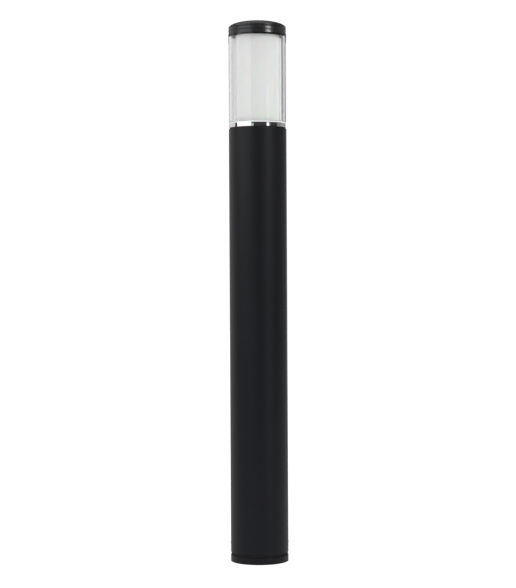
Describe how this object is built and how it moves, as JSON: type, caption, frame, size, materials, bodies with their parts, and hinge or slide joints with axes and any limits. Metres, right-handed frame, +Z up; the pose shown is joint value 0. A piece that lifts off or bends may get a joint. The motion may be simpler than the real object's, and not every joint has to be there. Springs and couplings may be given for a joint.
{
  "type": "bollard light",
  "caption": "Round dark bollard light with a clear outer tube over an opal diffuser, a bright ring and a ribbed screw-on cap, on a flanged foot.",
  "frame": {"origin": "centre of the underside of the foot", "axes": "+Z up along the post, -Y the front seen in the picture, +X to the viewer's right"},
  "size_m": [0.1096, 0.1086, 1.0102],
  "materials": {
    "powder_coat": "fine-textured anthracite powder coat",
    "head_paint": "smooth black paint",
    "cap_paint": "satin black paint",
    "rubber_black": "matt black EPDM",
    "stainless": "bright stainless steel",
    "zinc_sheet": "zinc-plated sheet",
    "brass": "plain brass",
    "tinned": "bright plated metal",
    "white_plastic": "off-white moulded plastic",
    "black_plastic": "black moulded plastic",
    "cable_jacket": "black cable jacket",
    "green_wire": "green and yellow insulation",
    "brown_wire": "brown insulation",
    "blue_wire": "blue insulation",
    "chrome": "polished, mirror bright",
    "white_silicone": "white silicone",
    "clear_acrylic": "clear, polished acrylic",
    "opal_acrylic": "glossy opal acrylic",
    "white_porcelain": "glazed white porcelain",
    "black_glass": "black glass insulator",
    "lamp_plastic": "white lamp body",
    "lamp_opal": "frosted opal dome"
  },
  "bodies": {
    "pole": {"base_flange": "powder_coat", "base_grommet": "rubber_black", "block_screw_1": "stainless", "block_screw_2": "stainless", "bracket_screw_1": "stainless", "bracket_screw_2": "stainless", "cable_gland": "black_plastic", "cable_saddle": "black_plastic", "chrome_ring": "chrome", "clear_tube": "clear_acrylic", "column": "powder_coat", "column_screw_1": "stainless", "column_screw_2": "stainless", "core_earth": "green_wire", "core_live": "brown_wire", "core_neutral": "blue_wire", "diffuser_seat": "white_silicone", "earth_lug": "tinned", "earth_nut": "brass", "earth_stud": "brass", "earth_wire": "green_wire", "foot_gasket": "rubber_black", "gland_nut": "black_plastic", "head_collar": "head_paint", "holder_bracket": "zinc_sheet", "holder_contact": "brass", "holder_screw_1": "stainless", "holder_screw_2": "stainless", "holder_shell": "brass", "lamp_cable": "cable_jacket", "lamp_holder": "white_porcelain", "lower_seal": "white_silicone", "opal_diffuser": "opal_acrylic", "rod_nut_1": "stainless", "rod_nut_2": "stainless", "rod_nut_3": "stainless", "saddle_screw_1": "stainless", "saddle_screw_2": "stainless", "terminal_block": "white_plastic", "terminal_bracket": "zinc_sheet", "terminal_screw_1": "brass", "terminal_screw_2": "brass", "terminal_screw_3": "brass", "terminal_screw_4": "brass", "terminal_screw_5": "brass", "terminal_screw_6": "brass", "tie_rod_1": "stainless", "tie_rod_2": "stainless", "tie_rod_3": "stainless", "top_ring": "head_paint", "upper_seal": "rubber_black"},
    "cap": {"cap": "cap_paint"},
    "cap_carrier": {"cap_seal": "rubber_black"},
    "lamp_tip": {"lamp_contact": "tinned"},
    "lamp": {"lamp_insulator": "black_glass", "lamp_shell": "tinned", "lamp_body": "lamp_plastic", "lamp_globe": "lamp_opal"}
  },
  "joints": [
    {"name": "cap_rise", "type": "slide", "parent": "pole", "child": "cap_carrier", "axis": [0, 0, 1], "range_m": [0, 0.0125]},
    {"name": "cap_turn", "type": "hinge", "parent": "cap_carrier", "child": "cap", "pos_m": [0, 0, 0.99], "axis": [0, 0, 1], "range_deg": [0, 1080]},
    {"name": "lamp_rise", "type": "slide", "parent": "pole", "child": "lamp_tip", "axis": [0, 0, 1], "range_m": [0, 0.013]},
    {"name": "lamp_turn", "type": "hinge", "parent": "lamp_tip", "child": "lamp", "pos_m": [0, 0, 0.85], "axis": [0, 0, 1], "range_deg": [0, 1260]}
  ],
  "couplings": [
    {"joint": "cap_rise", "follows": "cap_turn", "m_per_rad": 0.00063662},
    {"joint": "lamp_rise", "follows": "lamp_turn", "m_per_rad": 0.00057757}
  ]
}
